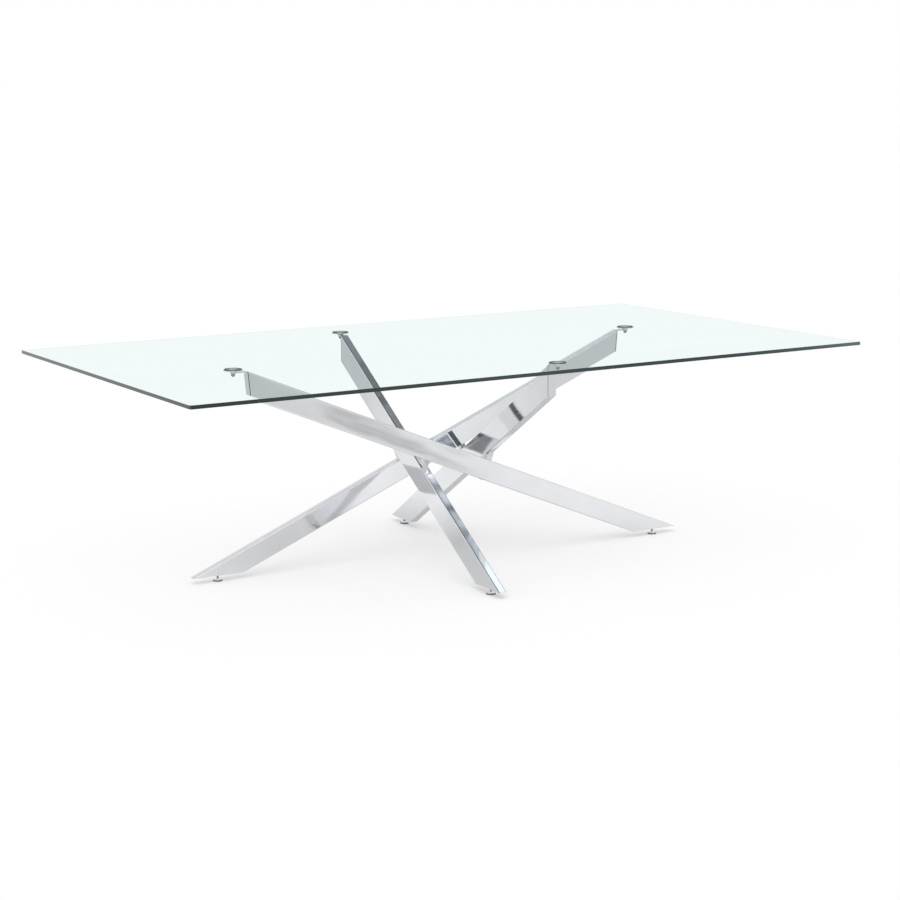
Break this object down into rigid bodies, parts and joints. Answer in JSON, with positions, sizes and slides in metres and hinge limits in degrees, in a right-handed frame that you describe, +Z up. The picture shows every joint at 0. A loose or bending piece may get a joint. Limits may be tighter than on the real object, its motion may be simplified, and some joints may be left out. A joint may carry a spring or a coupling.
{
  "type": "dining table",
  "caption": "Rectangular glass dining table on round metal supports, over a frame of sloping flat tubes that cross in a woven hash, with levelling feet.",
  "frame": {"origin": "on the floor, under the middle of the glass", "axes": "+X along the length of the glass, +Y across it, +Z up"},
  "size_m": [2.54, 1.44, 0.75],
  "materials": {
    "glass": "clear float glass, ground and polished edges",
    "chrome": "mirror polish",
    "steel": "bright zinc",
    "rubber": "matt",
    "plastic": "fine texture"
  },
  "bodies": {
    "base": {"front_leg": "chrome", "back_leg": "chrome", "left_leg": "chrome", "right_leg": "chrome", "front_bracket": "chrome", "back_bracket": "chrome", "left_bracket": "chrome", "right_bracket": "chrome", "front_foot_plate": "chrome", "back_foot_plate": "chrome", "left_foot_plate": "chrome", "right_foot_plate": "chrome", "foot_nuts": "steel", "front_disc": "chrome", "back_disc": "chrome", "left_disc": "chrome", "right_disc": "chrome", "front_pad": "rubber", "back_pad": "rubber", "left_pad": "rubber", "right_pad": "rubber", "cap_nuts": "chrome", "disc_washers": "steel", "front_left_block": "chrome", "left_back_block": "chrome", "back_right_block": "chrome", "right_front_block": "chrome", "block_screws": "steel", "block_washers": "steel", "hole_plugs": "plastic"},
    "glass": {"glass_top": "glass"},
    "front_glide": {"front_glide": "plastic"},
    "front_stud": {"front_stud": "steel"},
    "back_glide": {"back_glide": "plastic"},
    "back_stud": {"back_stud": "steel"},
    "left_glide": {"left_glide": "plastic"},
    "left_stud": {"left_stud": "steel"},
    "right_glide": {"right_glide": "plastic"},
    "right_stud": {"right_stud": "steel"}
  },
  "joints": [
    {"name": "glass_lift", "type": "slide", "parent": "base", "child": "glass", "axis": [0, 0, 1], "range_m": [0, 0.3]},
    {"name": "front_foot_travel", "type": "slide", "parent": "base", "child": "front_glide", "axis": [0, 0, -1], "range_m": [-0.01, 0.01]},
    {"name": "front_foot_turn", "type": "hinge", "parent": "front_glide", "child": "front_stud", "pos_m": [0.83, -0.102, 0], "axis": [0, 0, -1], "range_deg": [-2880, 2880]},
    {"name": "back_foot_travel", "type": "slide", "parent": "base", "child": "back_glide", "axis": [0, 0, -1], "range_m": [-0.01, 0.01]},
    {"name": "back_foot_turn", "type": "hinge", "parent": "back_glide", "child": "back_stud", "pos_m": [-0.83, 0.102, 0], "axis": [0, 0, -1], "range_deg": [-2880, 2880]},
    {"name": "left_foot_travel", "type": "slide", "parent": "base", "child": "left_glide", "axis": [0, 0, -1], "range_m": [-0.01, 0.01]},
    {"name": "left_foot_turn", "type": "hinge", "parent": "left_glide", "child": "left_stud", "pos_m": [-0.14585, -0.54522, 0], "axis": [0, 0, -1], "range_deg": [-2880, 2880]},
    {"name": "right_foot_travel", "type": "slide", "parent": "base", "child": "right_glide", "axis": [0, 0, -1], "range_m": [-0.01, 0.01]},
    {"name": "right_foot_turn", "type": "hinge", "parent": "right_glide", "child": "right_stud", "pos_m": [0.14585, 0.54522, 0], "axis": [0, 0, -1], "range_deg": [-2880, 2880]}
  ],
  "couplings": [
    {"joint": "front_foot_travel", "follows": "front_foot_turn", "m_per_rad": 0.00019894},
    {"joint": "back_foot_travel", "follows": "back_foot_turn", "m_per_rad": 0.00019894},
    {"joint": "left_foot_travel", "follows": "left_foot_turn", "m_per_rad": 0.00019894},
    {"joint": "right_foot_travel", "follows": "right_foot_turn", "m_per_rad": 0.00019894}
  ]
}
